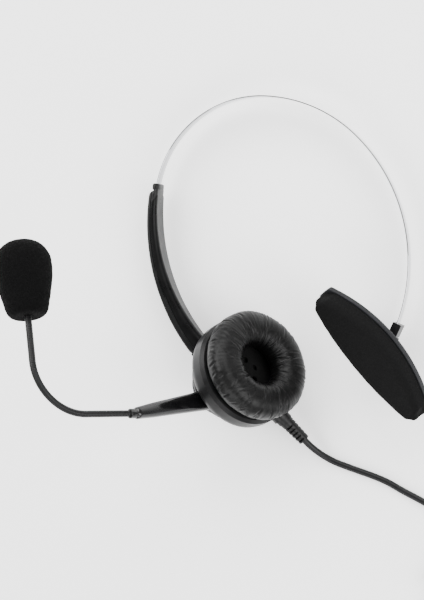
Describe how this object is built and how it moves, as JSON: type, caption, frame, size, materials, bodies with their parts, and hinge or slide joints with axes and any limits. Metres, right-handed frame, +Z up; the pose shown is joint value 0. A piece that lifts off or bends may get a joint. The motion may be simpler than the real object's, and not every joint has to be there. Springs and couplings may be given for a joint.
{
  "type": "office headset",
  "caption": "Single-ear office headset: steel headband, padded ear cup, temple T-bar, gooseneck boom microphone and cord ending in a modular plug.",
  "frame": {"origin": "bottom centre of the headset's box (without the cord), on the surface it lies on", "axes": "+X from the microphone towards the T-bar, +Y from the ear cup towards the crown of the headband, +Z up from the surface"},
  "size_m": [0.256, 0.2761, 0.1035],
  "materials": {
    "steel": "polished",
    "satin_black": "satin",
    "gloss_black": "glossy",
    "hub_grey": "satin",
    "leatherette": "soft wrinkled",
    "foam": "open foam",
    "neck_rubber": "ribbed satin",
    "plate_grey": "satin",
    "inner_plastic": "matte",
    "bare_metal": "plain",
    "film": "translucent film",
    "cloth_mesh": "fine cloth",
    "cord_black": "satin",
    "plug_clear": "clear",
    "gold": "bright"
  },
  "bodies": {
    "ear_cup": {"rear_housing": "satin_black", "speaker_baffle": "inner_plastic", "cushion_ring": "inner_plastic", "ear_cushion": "leatherette", "speaker_frame": "inner_plastic", "speaker_magnet": "bare_metal", "speaker_diaphragm": "film", "speaker_mesh": "cloth_mesh", "housing_screws": "bare_metal", "hub_cap": "hub_grey", "hub_washer": "bare_metal", "hub_screw": "bare_metal", "strain_relief": "neck_rubber", "cord": "cord_black", "cord_coil": "cord_black", "coil_tie": "satin_black", "plug_body": "plug_clear", "plug_contacts": "gold"},
    "arm": {"arm_outer_shell": "satin_black", "arm_pivot_block": "satin_black", "arm_inner_cover": "gloss_black", "arm_end_collar": "satin_black", "friction_spring": "bare_metal", "arm_screws": "bare_metal", "arm_pivot_pin": "bare_metal"},
    "band": {"headband_strip": "steel", "strip_stop": "bare_metal", "strip_end_block": "satin_black"},
    "boom": {"boom_ring": "gloss_black", "boom_holder": "gloss_black", "boom_ferrule": "gloss_black", "gooseneck_lower": "neck_rubber"},
    "mic_end": {"gooseneck_upper": "neck_rubber", "mic_housing": "satin_black", "mic_capsule": "bare_metal", "mic_windscreen": "foam"},
    "knuckle": {"t_knuckle": "satin_black"},
    "t_hinge": {"t_hinge_block": "satin_black", "t_pivot_pin": "bare_metal", "t_stud_clip": "bare_metal"},
    "t_bar": {"t_bar_plate": "plate_grey", "t_bar_pad": "foam"},
    "latch": {"plug_latch": "plug_clear"}
  },
  "joints": [
    {"name": "ear_swivel", "type": "hinge", "parent": "ear_cup", "child": "arm", "pos_m": [-0.00797, -0.06016, 0.01218], "axis": [0.4848, -0.8746, 0], "range_deg": [-25, 50]},
    {"name": "boom_turn", "type": "hinge", "parent": "ear_cup", "child": "boom", "pos_m": [-0.0016, -0.05663, 0.01747], "axis": [0.7076, 0.3922, 0.5878], "range_deg": [-20, 110]},
    {"name": "boom_flex", "type": "hinge", "parent": "boom", "child": "mic_end", "pos_m": [-0.06508, -0.0657, 0.09994], "axis": [0.7076, 0.3922, 0.5878], "range_deg": [-20, 20]},
    {"name": "band_slide", "type": "hinge", "parent": "arm", "child": "band", "pos_m": [0.05538, 0.02774, 0.01218], "axis": [0, 0, -1], "range_deg": [-4, 9]},
    {"name": "t_swivel", "type": "hinge", "parent": "band", "child": "knuckle", "pos_m": [0.07738, -0.03226, 0.01218], "axis": [-0.3714, -0.9285, 0], "range_deg": [-10, 80]},
    {"name": "t_tilt", "type": "hinge", "parent": "knuckle", "child": "t_hinge", "pos_m": [0.0763, -0.03183, 0.01704], "axis": [-0.9028, 0.3611, -0.2334], "range_deg": [-5, 45]},
    {"name": "t_spin", "type": "hinge", "parent": "t_hinge", "child": "t_bar", "pos_m": [0.0763, -0.03183, 0.01704], "axis": [-0.4042, -0.5277, 0.7471], "range_deg": [-20, 60]},
    {"name": "latch_flex", "type": "hinge", "parent": "ear_cup", "child": "latch", "pos_m": [0.14943, -0.19025, 0.0072], "axis": [-0.9994, 0.0349, 0], "range_deg": [0, 5], "stiffness_Nm_per_rad": 0.02}
  ]
}
